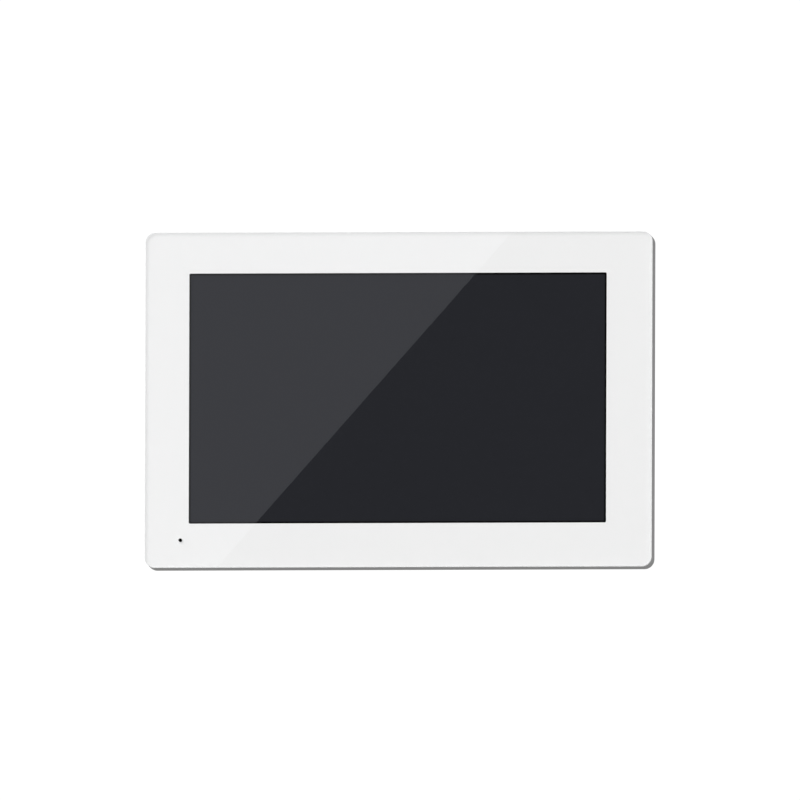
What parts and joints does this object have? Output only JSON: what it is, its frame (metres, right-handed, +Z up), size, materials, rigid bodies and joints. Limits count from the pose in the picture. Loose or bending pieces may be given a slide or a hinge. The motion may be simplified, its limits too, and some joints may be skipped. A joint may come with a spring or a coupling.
{
  "type": "video intercom monitor",
  "caption": "Slim white wall-mounted video intercom monitor with a wide touch display under edge-to-edge glass, hung on a stamped steel bracket.",
  "frame": {"origin": "on the wall bracket's wall face, half way between its two wall-box slots", "axes": "+X to the right and +Z up as the user sees the screen, +Y into the wall; the screen faces -Y"},
  "size_m": [0.187, 0.022, 0.1236],
  "materials": {
    "clear_glass": "polished, clear",
    "white_print": "even white screen print under the glass",
    "black_print": "black screen print under the glass",
    "touch_film": "smoked sensor film on the switched-off display",
    "display_dark": "switched-off display, dark grey",
    "white_abs": "fine moulded texture",
    "light_tray": "satin white",
    "light_guide": "clear acrylic with printed dots",
    "zinc_steel": "zinc-plated, fine rolling marks",
    "screw_steel": "bright zinc",
    "black_steel": "black oxide",
    "tape_black": "foam tape",
    "foam_black": "open-cell foam",
    "rubber_grey": "matt elastomer",
    "rubber_black": "matt elastomer",
    "board_green": "solder mask",
    "chip_black": "moulded epoxy",
    "aluminium": "extruded, satin",
    "shield_can": "tinned",
    "coil_grey": "ferrite",
    "passive_tan": "ceramic",
    "flex_amber": "polyimide",
    "socket_white": "nylon",
    "pin_gold": "plated",
    "card_black": "satin",
    "button_grey": "satin",
    "switch_black": "satin",
    "cone_black": "treated paper",
    "basket_black": "moulded",
    "lead_grey": "insulation",
    "label_silver": "printed film, no text"
  },
  "bodies": {
    "bracket": {"wall_bracket": "zinc_steel"},
    "monitor": {"antenna_film": "flex_amber", "antenna_lead": "rubber_black", "black_keyline_print": "black_print", "board_screws": "screw_steel", "capacitors": "aluminium", "card_socket": "shield_can", "case_screws": "black_steel", "chassis_plate": "zinc_steel", "chassis_screws": "screw_steel", "cover_glass": "clear_glass", "flex_connectors": "socket_white", "front_case": "white_abs", "glass_tape": "tape_black", "lcd_backlight_tray": "light_tray", "lcd_bezel": "zinc_steel", "lcd_flex": "flex_amber", "lcd_foam_gasket": "foam_black", "lcd_glass_cell": "display_dark", "lcd_led_strip": "passive_tan", "lcd_light_guide": "light_guide", "lead_headers": "socket_white", "line_sockets": "socket_white", "main_board": "board_green", "memory_chips": "chip_black", "mic_boot": "rubber_black", "mic_capsule": "aluminium", "mic_leads": "lead_grey", "power_inductors": "coil_grey", "power_socket": "socket_white", "power_switch": "switch_black", "processor": "chip_black", "processor_heatsink": "aluminium", "rating_label": "label_silver", "rear_cover": "white_abs", "reset_switch": "switch_black", "small_chips": "chip_black", "small_passives": "passive_tan", "socket_pins": "pin_gold", "speaker_frame": "basket_black", "speaker_gasket": "foam_black", "speaker_leads": "lead_grey", "speaker_magnet": "screw_steel", "speaker_screws": "black_steel", "touch_flex": "flex_amber", "touch_sensor": "touch_film", "wall_pads": "rubber_grey", "white_border_print": "white_print", "wifi_module": "shield_can"},
    "card": {"memory_card": "card_black"},
    "reset": {"reset_button": "button_grey"},
    "power_knob": {"power_switch_knob": "button_grey"},
    "cone": {"speaker_cone": "cone_black"}
  },
  "joints": [
    {"name": "monitor_lift", "type": "slide", "parent": "bracket", "child": "monitor", "axis": [0, 0, 1], "range_m": [0, 0.0055]},
    {"name": "memory_card_slide", "type": "slide", "parent": "monitor", "child": "card", "axis": [-1, 0, 0], "range_m": [-0.0006, 0.012]},
    {"name": "reset_press", "type": "slide", "parent": "monitor", "child": "reset", "axis": [1, 0, 0], "range_m": [0, 0.00035], "stiffness_N_per_m": 1500},
    {"name": "power_switch_slide", "type": "slide", "parent": "monitor", "child": "power_knob", "axis": [0, 0, 1], "range_m": [0, 0.002]},
    {"name": "speaker_cone_travel", "type": "slide", "parent": "monitor", "child": "cone", "axis": [0, 1, 0], "range_m": [-0.0004, 0.0004], "stiffness_N_per_m": 300}
  ]
}
